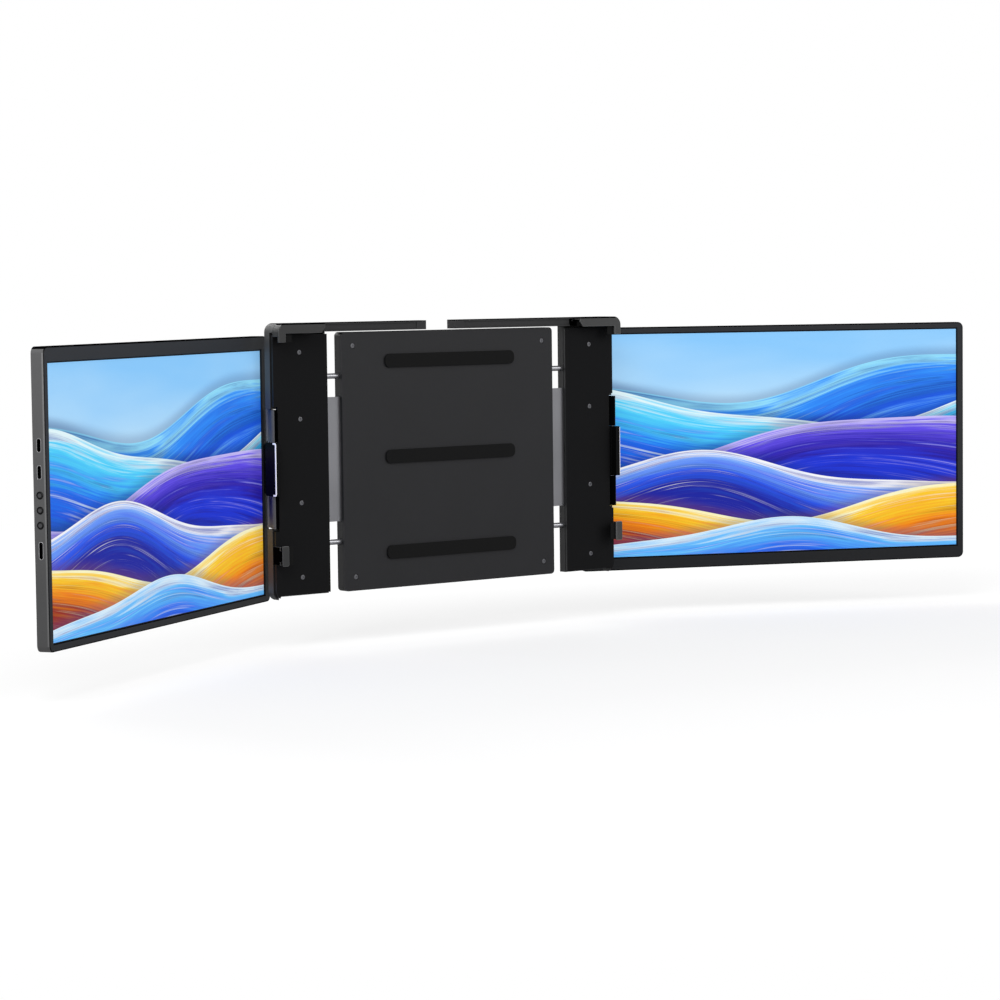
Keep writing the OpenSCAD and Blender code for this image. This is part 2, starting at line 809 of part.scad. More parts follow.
module backlight() {
  color("white")
  slab(backlight_y0, backlight_y0 + backlight_t) display_area(dark_edge + glass_over);
}

module circuit_board() {
  chip_t = 1.2;
  chips = [[23, -1, 9], [21, 25, 5], [21, -29, 5]];   // middle and half size of each
  color(board_green) {
    slab(board_y0, board_y0 + board_t)
      rect(board_x0, -board_half_h, board_x1, board_half_h);
    // Controller chip and two smaller chips, and the three switches
    for (chip = chips)
      slab(board_y0 - chip_t, board_y0)
        translate([board_x0 + chip[0], chip[1]])
          square(2 * chip[2], center = true);
    for (i = [0 : 2])
      block([board_x1 - 3, socket_y - 1.3, button_z + i * button_pitch - 2.5],
            [board_x1 - 0.2, board_y0, button_z + i * button_pitch + 2.5]);
  }
}

module hinge_bracket() {
  color(black)
  difference() {
    union() {
      translate([monitor_pin_x, monitor_pin_y, -bracket_zone])
        cylinder(r = knuckle_r, h = 2 * bracket_zone);
      // Front strap, wrap round the monitor's edge, and the tongue inside its shell
      block([bracket_x0, -gap - bracket_t, -bracket_half_h], [monitor_pin_x, -gap, bracket_half_h]);
      block([bracket_x0, -gap - bracket_t, -bracket_half_h], [bracket_x1, bracket_y1, bracket_half_h]);
      block([bracket_x0, bracket_y0, -bracket_half_h], [bracket_foot, bracket_y1, bracket_half_h]);
    }
    translate([monitor_pin_x, monitor_pin_y, -bracket_zone - cut])
      cylinder(r = pin_r, h = 2 * (bracket_zone + cut));
    for (x = bracket_screw_x, z = bracket_screw_z)
      rod_y_axis(x, z, bracket_y0 - cut, bracket_y1 + cut, screw_r + 0.1);
  }
}

module bracket_screws() {
  color(steel)
  for (x = bracket_screw_x, z = bracket_screw_z) {
    rod_y_axis(x, z, bracket_y0, monitor_t - 0.5, screw_r);
    rod_y_axis(x, z, bracket_y0 - screw_head_t, bracket_y0, screw_head_r);
  }
}

// A socket's metal shell, its closed back and its contact tongue
module socket(z, w) {
  x0 = monitor_w - socket_depth;
  inner_h = socket_h / 2 - socket_wall;
  translate([x0, 0, z])
    rotate([90, 0, 90]) {
      difference() {
        linear_extrude(socket_depth)
          round_rect(socket_y - socket_h / 2, -w / 2, socket_y + socket_h / 2, w / 2,
                     socket_h / 2 - 0.01);
        translate([0, 0, 1])
          linear_extrude(socket_depth)
            round_rect(socket_y - inner_h, -w / 2 + socket_wall, socket_y + inner_h,
                       w / 2 - socket_wall, inner_h - 0.01);
      }
      translate([socket_y - 0.35, -w / 2 + 1.3, 0.5]) cube([0.7, w - 2.6, socket_depth - 1.5]);
    }
}

module usb_sockets() {
  color(steel)
  for (z = [usb_z1, usb_z2]) socket(z, usb_w);
}

module hdmi_socket() {
  color(steel) socket(hdmi_z, hdmi_w);
}

module button(i) {
  z = button_z + i * button_pitch;
  flange_x1 = monitor_w - monitor_wall - 0.05;
  color(black) {
    rod_x_axis(socket_y, z, flange_x1, monitor_w + button_travel, button_r);
    rod_x_axis(socket_y, z, flange_x1 - flange_t, flange_x1, flange_r);
  }
}

// ---------- nodes ----------

centre_shell();
centre_plate();
seat_pads();
guide_blocks();
kickstand();
kickstand_pin();
kickstand_foot();
centre_screws();

on_side(-1) side_shell(left_bar_end);  // left_side_shell
on_side(-1) seat_plate();  // left_seat_plate
on_side(-1) frame_screws();  // left_frame_screws
on_side(-1) corner_hook();  // left_corner_hook
on_side(-1) hook_pad();  // left_hook_pad
on_side(-1) side_clip();  // left_side_clip
on_side(-1) clip_pad();  // left_clip_pad
on_side(-1) guide_rods();  // left_guide_rods
on_side(-1) slide_tongue();  // left_slide_tongue
on_side(-1) hinge_block();  // left_hinge_block
on_side(-1) hinge_trim();  // left_hinge_trim
on_side(-1) hinge_pin(frame_pin_x, frame_pin_y);  // left_frame_pin
on_side(-1) hinge_arms(left_arm, left_arm_angle);  // left_hinge_arms
on_side(-1) hinge_pin(arm_end(left_arm, left_arm_angle).x, arm_end(left_arm, left_arm_angle).y);  // left_monitor_pin
on_monitor(-1) monitor_shell();  // left_monitor_shell
on_monitor(-1) bezel();  // left_bezel
on_monitor(-1) display_glass();  // left_display_glass
on_monitor(-1) backlight();  // left_backlight
on_monitor(-1) circuit_board();  // left_circuit_board
on_monitor(-1) hinge_bracket();  // left_hinge_bracket
on_monitor(-1) bracket_screws();  // left_bracket_screws
on_monitor(-1) usb_sockets();  // left_usb_sockets
on_monitor(-1) hdmi_socket();  // left_hdmi_socket
on_monitor(-1) button(0);  // left_button_1
on_monitor(-1) button(1);  // left_button_2
on_monitor(-1) button(2);  // left_button_3

on_side(1) side_shell(right_bar_end);  // right_side_shell
on_side(1) seat_plate();  // right_seat_plate
on_side(1) frame_screws();  // right_frame_screws
on_side(1) corner_hook();  // right_corner_hook
on_side(1) hook_pad();  // right_hook_pad
on_side(1) side_clip();  // right_side_clip
on_side(1) clip_pad();  // right_clip_pad
on_side(1) guide_rods();  // right_guide_rods
on_side(1) slide_tongue();  // right_slide_tongue
on_side(1) hinge_block();  // right_hinge_block
on_side(1) hinge_trim();  // right_hinge_trim
on_side(1) hinge_pin(frame_pin_x, frame_pin_y);  // right_frame_pin
on_side(1) hinge_arms(right_arm, right_arm_angle);  // right_hinge_arms
on_side(1) hinge_pin(arm_end(right_arm, right_arm_angle).x, arm_end(right_arm, right_arm_angle).y);  // right_monitor_pin
on_monitor(1) monitor_shell();  // right_monitor_shell
on_monitor(1) bezel();  // right_bezel
on_monitor(1) display_glass();  // right_display_glass
on_monitor(1) backlight();  // right_backlight
on_monitor(1) circuit_board();  // right_circuit_board
on_monitor(1) hinge_bracket();  // right_hinge_bracket
on_monitor(1) bracket_screws();  // right_bracket_screws
on_monitor(1) usb_sockets();  // right_usb_sockets
on_monitor(1) hdmi_socket();  // right_hdmi_socket
on_monitor(1) button(0);  // right_button_1
on_monitor(1) button(1);  // right_button_2
on_monitor(1) button(2);  // right_button_3
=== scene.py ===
"""Looks of the two-monitor screen extender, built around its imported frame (metres, +Z up)."""
import contextlib
import json
import math

import bmesh
import bpy
from mathutils import Matrix, Vector

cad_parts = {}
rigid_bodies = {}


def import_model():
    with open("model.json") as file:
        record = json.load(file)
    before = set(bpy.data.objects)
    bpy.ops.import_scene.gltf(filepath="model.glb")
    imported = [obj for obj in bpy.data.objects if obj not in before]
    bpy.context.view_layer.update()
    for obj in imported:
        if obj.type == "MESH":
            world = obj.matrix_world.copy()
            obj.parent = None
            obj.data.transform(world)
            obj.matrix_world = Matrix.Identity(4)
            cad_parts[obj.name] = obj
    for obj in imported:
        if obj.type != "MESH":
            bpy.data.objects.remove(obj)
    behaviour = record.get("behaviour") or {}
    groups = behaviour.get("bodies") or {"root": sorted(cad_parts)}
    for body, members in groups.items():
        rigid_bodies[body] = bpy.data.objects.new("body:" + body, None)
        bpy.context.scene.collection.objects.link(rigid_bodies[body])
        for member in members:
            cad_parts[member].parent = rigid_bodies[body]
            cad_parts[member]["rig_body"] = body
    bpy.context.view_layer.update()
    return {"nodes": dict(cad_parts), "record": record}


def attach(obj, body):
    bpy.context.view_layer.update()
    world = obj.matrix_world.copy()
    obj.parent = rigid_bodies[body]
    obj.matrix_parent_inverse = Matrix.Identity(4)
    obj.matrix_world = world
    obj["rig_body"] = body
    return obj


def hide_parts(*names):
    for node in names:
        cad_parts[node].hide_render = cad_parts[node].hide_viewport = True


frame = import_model()
MM = 0.001
SIDES = ("left", "right")
WHITE = (1, 1, 1, 1)


# ---------- camera, fitted to the corners of the monitors in the photo ----------

CAMERA_AT = Vector((-1.38634, -1.80895, 0.12531))
CAMERA_LOOK = Vector((0.6189, 0.78232, -0.07025)).normalized()
CAMERA_UP = Vector((0.05298, 0.04766, 0.99746))
CAMERA_LENS = 110.84         # the lens and the sensor in millimetres
CAMERA_SENSOR = 36
CAMERA_SIGHT = (0.05, 40)    # the nearest and the farthest that it sees


def make_camera():
    data = bpy.data.cameras.new("camera")
    data.sensor_width = CAMERA_SENSOR
    data.lens = CAMERA_LENS
    data.clip_start, data.clip_end = CAMERA_SIGHT
    camera = bpy.data.objects.new("camera", data)
    bpy.context.scene.collection.objects.link(camera)
    right = CAMERA_LOOK.cross(CAMERA_UP).normalized()
    up = right.cross(CAMERA_LOOK)
    turn = Matrix((right, up, -CAMERA_LOOK)).transposed()
    camera.matrix_world = Matrix.Translation(CAMERA_AT) @ turn.to_4x4()
    bpy.context.scene.camera = camera


make_camera()


# ---------- node graphs ----------

class Graph:
    """Short names for the shader nodes of one material."""

    def __init__(self, tree):
        self.tree = tree

    def add(self, kind, **values):
        node = self.tree.nodes.new(kind)
        for name, value in values.items():
            setattr(node, name, value)
        return node

    def plug(self, socket, value):
        if isinstance(value, bpy.types.NodeSocket):
            self.tree.links.new(value, socket)
        elif value is not None:
            socket.default_value = value

    def math(self, operation, a, b=None, c=None):
        node = self.add("ShaderNodeMath", operation=operation)
        for socket, value in zip(node.inputs, (a, b, c)):
            self.plug(socket, value)
        return node.outputs[0]

    def total(self, *terms):
        result = terms[0]
        for term in terms[1:]:
            result = self.math("ADD", result, term)
        return result

    def times(self, a, b):
        return self.math("MULTIPLY", a, b)

    def minus(self, a, b):
        return self.math("SUBTRACT", a, b)

    def wave(self, x, amount, rate, shift):
        """amount * sin(rate * x + shift)"""
        inner = self.math("MULTIPLY_ADD", x, rate, shift)
        return self.times(self.math("SINE", inner), amount)

    def step(self, value, low, high, to_low=0.0, to_high=1.0):
        node = self.add("ShaderNodeMapRange", interpolation_type="SMOOTHSTEP")
        for socket, item in zip(node.inputs, (value, low, high, to_low, to_high)):
            self.plug(socket, item)
        return node.outputs[0]

    def vector(self, x, y, z):
        node = self.add("ShaderNodeCombineXYZ")
        for socket, value in zip(node.inputs, (x, y, z)):
            self.plug(socket, value)
        return node.outputs[0]

    def split(self, vector):
        node = self.add("ShaderNodeSeparateXYZ")
        self.plug(node.inputs[0], vector)
        return node.outputs

    def noise(self, vector, scale, detail, rough, distort=0.0):
        node = self.add("ShaderNodeTexNoise")
        self.plug(node.inputs["Vector"], vector)
        node.inputs["Scale"].default_value = scale
        node.inputs["Detail"].default_value = detail
        node.inputs["Roughness"].default_value = rough
        node.inputs["Distortion"].default_value = distort
        return node.outputs["Fac"]

    def ramp(self, value, stops):
        node = self.add("ShaderNodeValToRGB")
        elements = node.color_ramp.elements
        while len(elements) < len(stops):
            elements.new(0.5)
        for element, (place, colour) in zip(elements, stops):
            element.position = place
            element.color = (*colour, 1.0)
        self.plug(node.inputs[0], value)
        return node.outputs[0]

    def mix(self, factor, a, b, blend="MIX"):
        node = self.add("ShaderNodeMix", data_type="RGBA", blend_type=blend)
        self.plug(node.inputs[0], factor)
        for socket, value in ((node.inputs[6], a), (node.inputs[7], b)):
            linked = isinstance(value, bpy.types.NodeSocket)
            self.plug(socket, value if linked else (*value, 1.0))
        return node.outputs[2]

    def bump(self, height, strength, distance):
        node = self.add("ShaderNodeBump")
        node.inputs["Strength"].default_value = strength
        node.inputs["Distance"].default_value = distance
        self.plug(node.inputs["Height"], height)
        return node.outputs["Normal"]


def srgb(*values):
    """A linear colour from display values of 0 to 255."""
    def linear(v):
        v /= 255
        return v / 12.92 if v <= 0.04045 else ((v + 0.055) / 1.055) ** 2.4
    return tuple(linear(v) for v in values)


def new_material(name):
    material = bpy.data.materials.new(name)
    material.use_nodes = True
    graph = Graph(material.node_tree)
    shader = material.node_tree.nodes["Principled BSDF"]
    return material, graph, shader


CLOUD_SIZE = 22                  # noise scale of the faint clouds that lie under a finish's grain
GRAIN_SHARE, CLOUD_SHARE = 0.6, 0.4
DARK_AT, LIGHT_AT = 0.3, 0.7     # noise values of a finish's darkest and lightest spots
SHINY_AT, DULL_AT = 0.2, 0.8     # and of its shiniest and dullest ones
SHINIER, DULLER = 0.05, 0.07     # how far the roughness strays each way
GRAIN_DEPTH = 0.04 * MM


def grained(name, colour, roughness, metallic=0.0, grain=0.12, size=2600, relief=0.25,
            streak=(1, 1, 1), specular=0.25, fade=None, glow=0.0):
    """Fine-grained metal, plastic or rubber.

    grain is how far the tone strays, size the grain's noise scale, relief its bump strength and streak its
    stretch. fade (axis, start, end, low, high) paints light and shade onto the colour along an axis of the
    frame, in metres.
    """
    material, g, shader = new_material(name)
    place = g.add("ShaderNodeTexCoord").outputs["Object"]
    stretched = g.add("ShaderNodeMapping")
    g.plug(stretched.inputs["Vector"], place)
    stretched.inputs["Scale"].default_value = streak
    fine = g.noise(stretched.outputs[0], size, detail=3.0, rough=0.6)
    clouds = g.noise(place, CLOUD_SIZE, detail=2.0, rough=0.5)
    both = g.total(g.times(fine, GRAIN_SHARE), g.times(clouds, CLOUD_SHARE))
    dark = tuple(c * (1 - grain) for c in colour)
    light = tuple(c * (1 + grain) for c in colour)
    tone = g.ramp(both, ((DARK_AT, dark), (LIGHT_AT, light)))
    # Painted light and shade: the colour grows darker or lighter along one axis
    if fade:
        axis, start, end, low, high = fade
        amount = g.step(g.split(place)[axis], start, end, low, high)
        tone = g.mix(1.0, tone, g.vector(amount, amount, amount), "MULTIPLY")
    g.plug(shader.inputs["Base Color"], tone)
    # Painted light: the finish glows faintly white, though it is no lamp
    if glow:
        shader.inputs["Emission Color"].default_value = WHITE
        shader.inputs["Emission Strength"].default_value = glow
    gloss = g.step(both, SHINY_AT, DULL_AT, roughness - SHINIER, roughness + DULLER)
    g.plug(shader.inputs["Roughness"], gloss)
    shader.inputs["Metallic"].default_value = metallic
    shader.inputs["Specular IOR Level"].default_value = specular
    g.plug(shader.inputs["Normal"], g.bump(fine, relief, GRAIN_DEPTH))
    return material


# ---------- the picture on the screens: rolling silk-like bands ----------

ASPECT = 16 / 9
DARK_EDGE = 1.9                      # millimetres of the glass on each side of the lit picture
SKY = ((0.5, srgb(196, 232, 255)), (1.0, srgb(140, 204, 255)))   # its colours and how high they lie

# Each band, in heights of the picture: crest height, two waves (amount, rate, shift), depth, and its colours:
# crest, body, fold, foot
BANDS = (
    (0.80, (0.105, 2.3, 3.5), (0.022, 5.6, 0.4), 0.30,
     (srgb(150, 226, 255), srgb(52, 148, 255), srgb(26, 84, 222), srgb(40, 120, 250))),
    (0.66, (0.090, 2.6, 1.7), (0.020, 6.1, 2.0), 0.26,
     (srgb(232, 252, 255), srgb(82, 214, 255), srgb(30, 120, 244), srgb(24, 74, 214))),
    (0.51, (0.105, 2.2, 4.6), (0.018, 5.3, 3.4), 0.28,
     (srgb(206, 196, 255), srgb(104, 84, 240), srgb(48, 34, 178), srgb(30, 54, 214))),
    (0.37, (0.085, 2.8, 0.2), (0.018, 6.4, 4.4), 0.24,
     (srgb(255, 255, 255), srgb(126, 176, 255), srgb(44, 90, 240), srgb(28, 36, 160))),
    (0.235, (0.080, 2.5, 2.6), (0.020, 5.9, 5.4), 0.22,
     (srgb(255, 252, 206), srgb(255, 208, 44), srgb(242, 132, 18), srgb(150, 44, 26))),
    (0.085, (0.060, 3.0, 5.2), (0.014, 6.8, 1.2), 0.20,
     (srgb(224, 244, 255), srgb(98, 190, 255), srgb(36, 108, 240), srgb(24, 60, 200))),
)
TONE_STOPS = (0.0, 0.2, 0.58, 1.0)   # how far down a band each of its colours lies
SPREAD_WAVE = (0.4, 1.9, 1.3)        # a band's depth varies: share of it, rate, and shift from band to band

# Layers of noise drawn out along the sky or a band: rate along and across it, seed, and the noise's scale,
# detail, roughness and distortion
HAZE = (0.6, 2.4, 3.0, 1.6, 3.0, 0.5, 0.0)
FOLDS = (0.75, 3.4, 0.0, 2.0, 4.0, 0.5, 0.3)
STRANDS = (0.5, 17.0, 5.0, 2.2, 5.0, 0.62, 0.2)
HAIRS = (0.42, 64.0, 9.0, 2.2, 3.0, 0.6, 0.0)
NOISE_MEAN = 0.5
HAZE_SWAY = 0.5                      # how far the haze shifts the sky's colours
SWAYS = (1.25, 0.55, 0.22)           # how far the folds, strands and hairs shift a band's colours

LIT_FOLDS = (0.50, 0.66)             # noise values between which a thread lights up
LIT_STRANDS = (0.47, 0.68)
LIT_SHARE = 0.62
HOLLOW_FOLDS = (0.50, 0.34)          # noise values between which a thread darkens
HOLLOW_HAIRS = (0.36, 0.62, 0.3, 0.75)   # likewise, with how much it darkens at each
HOLLOW_TONE = 0.55
RIM_WIDTHS = (0.0075, 0.0015)        # the crest's light rim fades out between these distances below it
RIM_SHARE = 0.75
SHADOW_HEIGHT = 0.055                # height of the shadow that a band casts above its crest
SHADOW_SHARE = 0.34
SHADOW_TONE = 0.22
CREST_BLUR = 0.0012

GLASS_BLACK = (0.002, 0.002, 0.003)
PICTURE_BODY = (0.42, 0.42, 0.42)    # share of the picture's colours that reflects light
PICTURE_LIGHT = 0.62


def drawn_out(g, u, down, number, along, across, seed, *noise):
    """One layer of noise stretched along a band. number tells the bands apart."""
    return g.noise(g.vector(g.times(u, along), g.times(down, across), number + seed), *noise)


def silk_band(g, u, v, number, crest, first, second, depth, tones):
    """Colour of one band of silk, and how far a point lies below its crest."""
    height = g.total(g.wave(u, *first), g.wave(u, *second), crest)
    below = g.minus(height, v)
    share, rate, shift = SPREAD_WAVE
    spread = g.total(g.wave(u, depth * share, rate, number * shift), depth)
    down = g.math("DIVIDE", below, spread)
    layers = [drawn_out(g, u, down, number, *layer) for layer in (FOLDS, STRANDS, HAIRS)]
    shifts = [g.times(g.minus(layer, NOISE_MEAN), sway) for layer, sway in zip(layers, SWAYS)]
    tone = g.ramp(g.total(down, *shifts), tuple(zip(TONE_STOPS, tones)))
    folds, strands, hairs = layers
    # Lit threads where a fold turns to the light, dark ones in its hollow
    lit = g.times(g.step(folds, *LIT_FOLDS), g.step(strands, *LIT_STRANDS))
    tone = g.mix(g.times(lit, LIT_SHARE), tone, tones[0])
    hollow = g.times(g.step(folds, *HOLLOW_FOLDS), g.step(hairs, *HOLLOW_HAIRS))
    tone = g.mix(hollow, tone, tuple(c * HOLLOW_TONE for c in tones[2]))
    rim = g.times(g.step(below, *RIM_WIDTHS), RIM_SHARE)
    return g.mix(rim, tone, tones[0]), below


def picture_material():
    material, g, shader = new_material("screen_picture")
    uv = g.add("ShaderNodeUVMap", uv_map="picture").outputs[0]
    across, v, _ = g.split(uv)
    u = g.times(across, ASPECT)
    haze = g.times(g.minus(drawn_out(g, u, v, 0, *HAZE), NOISE_MEAN), HAZE_SWAY)
    colour = g.ramp(g.total(v, haze), SKY)
    for number, band in enumerate(BANDS):
        tone, below = silk_band(g, u, v, number, *band)
        shade = g.step(below, -SHADOW_HEIGHT, 0.0, 0.0, SHADOW_SHARE)
        fold_tone = band[-1][2]
        colour = g.mix(shade, colour, tuple(c * SHADOW_TONE for c in fold_tone))
        colour = g.mix(g.step(below, -CREST_BLUR, CREST_BLUR), colour, tone)
    # The display stays black outside the picture
    margin = g.math("MINIMUM", g.math("MINIMUM", across, g.minus(1.0, across)),
                    g.math("MINIMUM", v, g.minus(1.0, v)))
    colour = g.mix(g.math("GREATER_THAN", margin, 0.0), GLASS_BLACK, colour)
    g.plug(shader.inputs["Base Color"], g.mix(1.0, colour, PICTURE_BODY, "MULTIPLY"))
    shader.inputs["Roughness"].default_value = 0.45
    shader.inputs["Specular IOR Level"].default_value = 0.12
    g.plug(shader.inputs["Emission Color"], colour)
    shader.inputs["Emission Strength"].default_value = PICTURE_LIGHT
    return material


# ---------- finishes, by material slot ----------

EDGE_SHINE = 0.05            # how much smoother a finish is along its edges


def finishes(name, tone, rim, roughness, metallic, **more):
    """A finish and the one along its edges. tone and rim are their colours, in display values. A rim lighter
    than the tone is a painted highlight along the rounded edges; a darker one is painted shade.
    """
    return (grained(name, srgb(*tone), roughness, metallic, **more),
            grained(name + "_edge", srgb(*rim), roughness - EDGE_SHINE, metallic, **more))


# Fades (axis, start, end, low, high) that follow the photo's light: darker low down, to the left, low on the
# bezels, and at the front of the hinge arms
DOWNWARDS = (2, -0.11, 0.09, 0.62, 1.04)
LEFTWARDS = (0, -0.16, 0.16, 0.80, 1.15)
LEFTWARDS_FAINT = (0, -0.16, 0.16, 0.84, 1.02)
BEZEL_FOOT = (2, -0.10, -0.02, 0.45, 1.0)
ARM_FRONT = (1, 0.004, 0.014, 0.55, 1.0)

# The second colour of each finish is its edges': lighter ones are painted highlights, the darker ones of the
# bezel and the buttons painted shade
MATERIALS = {
    "shell_grey": finishes("shell_anodised", (102, 102, 103), (134, 134, 135), 0.42, 0.2, fade=DOWNWARDS),
    "bezel_black": finishes("bezel_satin", (40, 42, 46), (24, 25, 27), 0.45, 0.0, fade=BEZEL_FOOT),
    "screen": (picture_material(),),
    "backlight_white": (grained("diffuser", srgb(232, 234, 238), 0.6),),
    "board_green": (grained("solder_mask", srgb(30, 92, 62), 0.35),),
    "hinge_black": finishes("hinge_coating", (7, 7, 8), (16, 16, 17), 0.5, 0.0, specular=0.08),
    "screw_steel": (grained("dark_steel", srgb(112, 112, 116), 0.32, 0.8),),
    "socket_steel": finishes("nickel", (200, 200, 203), (222, 222, 224), 0.26, 0.9),
    "pin_steel": finishes("pin_steel", (170, 170, 174), (200, 200, 203), 0.3, 0.9, streak=(30, 30, 1)),
    "frame_grey": finishes("frame_anodised", (45, 45, 46), (66, 66, 67), 0.45, 0.1, fade=LEFTWARDS_FAINT),
    "plate_grey": finishes("plate_anodised", (36, 36, 38), (60, 60, 62), 0.47, 0.1),
    "hook_grey": finishes("hook_anodised", (62, 62, 62), (98, 98, 98), 0.45, 0.1, fade=LEFTWARDS),
    "pad_rubber": (grained("rubber", srgb(16, 16, 16), 0.8, grain=0.3, size=1400, relief=0.5,
                           specular=0.15),),
    "guide_black": (grained("bearing_plastic", srgb(26, 26, 27), 0.5),),
    "tongue_steel": (grained("rolled_steel", srgb(142, 142, 146), 0.36, 0.85, streak=(1, 20, 20)),),
    # Painted light: the trim glows faintly white, though it is no lamp
    "trim_chrome": finishes("polished_trim_painted_glow", (250, 250, 250), (254, 254, 254), 0.3, 0.1,
                            grain=0.03, relief=0.05, glow=0.25),
    # Painted light: the arms' light tone shows them lit from the left; the fade darkens their front
    "arm_grey": finishes("arm_anodised_painted_light", (128, 127, 125), (132, 131, 129), 0.42, 0.1, specular=0.1,
                         fade=ARM_FRONT),
    "stand_grey": finishes("stand_anodised", (84, 84, 86), (116, 116, 118), 0.44, 0.15),
    # Painted shade: the buttons' near-black edge colour makes the ring round their caps
    "button_black": finishes("button_plastic", (70, 70, 72), (6, 6, 7), 0.5, 0.0),
}
# Painted light and shade that single faces of a piece wear instead of its finish
PAINTED_LIGHT_AND_SHADE = {
    # Painted shade, near black, in hollows, seams, socket mouths and round the buttons
    "hollow": grained("painted_shade_hollow", srgb(4, 4, 5), 0.95, specular=0.0),
    # Painted shade, black, on the tops and on a monitor shell's faces that look forwards
    "top": grained("painted_shade_top", srgb(5, 5, 6), 0.95, grain=0.2, specular=0.0),
    # Painted shadow, near black, on the seat plate's front, as a laptop lid casts it
    "seat": grained("painted_shadow_seat", srgb(17, 17, 18), 0.7, grain=0.2, specular=0.1),
    # Painted light: a lighter grey on the shells' outer sides, as lit from the side
    "side": grained("painted_light_side", srgb(84, 84, 84), 0.45, 0.1, specular=0.1),
}


# ---------- what the frame tells about the pieces ----------

SLOT_OF = {entry["node"]: entry["material_slot"] for entry in frame["record"]["subparts"]}


def vertices_of(node):
    return [v.co.copy() for v in frame["nodes"][node].data.vertices]


def body_of(node):
    return frame["nodes"][node]["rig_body"]


def side_of(node):
    return node.split("_")[0]


def monitor_axes(side):
    """Outward and backward directions of a monitor, from the corners of its display glass."""
    # To the micrometre, so that an upper corner and the one below it are the same
    corners = {(round(v.x, 6), round(v.y, 6)) for v in vertices_of(side + "_display_glass")}
    points = [Vector((x, y, 0)) for x, y in corners]
    inner = min(points, key=lambda p: abs(p.x))
    across = min((p for p in points if p is not inner), key=lambda p: (p - inner).length)
    along = min((p for p in points if p is not inner and p is not across),
                key=lambda p: abs((p - inner).dot(across - inner)))
    outward = (along - inner).normalized()
    backward = Vector((-outward.y, outward.x, 0))
    if backward.y < 0:
        backward = -backward
    return outward, backward


AXES = {side: monitor_axes(side) for side in SIDES}
# How far out the mouths of each monitor's sockets lie
REACH = {side: max(v.dot(AXES[side][0]) for v in vertices_of(side + "_usb_sockets")) for side in SIDES}
# Height of the frame's top in millimetres
TOP_Z = max(v.z for v in vertices_of("left_side_shell")) / MM


# ---------- pieces: sizes in millimetres ----------

# Width of the rounding along each piece's edges
EDGES = {
    "centre_shell": 0.6, "centre_plate": 0.3, "seat_pads": 0.2, "kickstand": 0.3, "kickstand_foot": 0.3,
    "side_shell": 0.8, "seat_plate": 0.3, "corner_hook": 0.7, "hook_pad": 0.2, "side_clip": 0.45,
    "clip_pad": 0.2, "hinge_block": 0.3, "hinge_arms": 0.3, "hinge_trim": 0.12,
    "monitor_shell": 0.45, "bezel": 0.2, "hinge_bracket": 0.2, "monitor_pin": 0.4, "frame_pin": 0.4,
    "button_1": 0.2, "button_2": 0.2, "button_3": 0.2, "usb_sockets": 0.08, "hdmi_socket": 0.08,
}
EDGE_STEPS = 2
EDGE_ANGLE = 32              # degrees: flatter edges stay as they are
WELD = 0.002                 # points as near as this become one
FLAT_ANGLE = 0.6             # degrees: faces flatter than this to each other become one

# Pieces whose faces that look upwards get matt black painted shade, and heights of the painted black shade
# lines along their tops
SHADE_ON_TOP = ("centre_shell", "centre_plate", "side_shell", "seat_plate", "corner_hook", "monitor_shell",
                "bezel", "hinge_arms")
TOP_SHADE_LINE = {"corner_hook": 1.1, "side_shell": 0.6}

# Hollows of a frame half that get painted shade, black: the recess round the hinge, and the pocket of the
# screw beside the hook, each as ranges of the distance from the middle, y and z
HINGE_RECESS = ((149, 158.6), (3.85, math.inf), (-49, 40))
SCREW_POCKET = ((114.4, 122.2), (0.05, 5.05), (92.1, 97.9))
SEAM_Y = 3.31                # the front plates are stepped in behind this, which leaves a seam painted with shade
MOUTH_DEPTH = 0.1            # deeper than this, a socket gets painted shade
BUTTON_FLOOR = (0.35, 0.45)  # range of depths at which the floors round the buttons lie, which get painted shade
HIGHLIGHT_LINE_WIDTH = 1.2             # width of the painted highlight line along the front of a monitor's outer side
SHADE_RING_WIDTH = 0.5            # width of the painted shade ring on a button's cap

# How squarely a face looks in a direction, as the cosine of the angle between them
EXACTLY, SQUARELY, MOSTLY, PARTLY, SLIGHTLY = 0.99, 0.9, 0.8, 0.5, 0.3
MONITOR_UP = 0.6             # limits of the same kind, for painted shade: a monitor's top, and the hinge arms' inner faces
ARM_INNER = -0.45


def link(name, mesh):
    piece = bpy.data.objects.new(name, mesh)
    bpy.context.scene.collection.objects.link(piece)
    return piece


@contextlib.contextmanager
def editing(mesh, source=None):
    """The faces of a mesh, or of its source, to work on. The mesh gets them when the block ends."""
    work = bmesh.new()
    work.from_mesh(source or mesh)
    yield work
    work.to_mesh(mesh)
    work.free()


def inside(place, box):
    return all(low < value < high for value, (low, high) in zip(place, box))


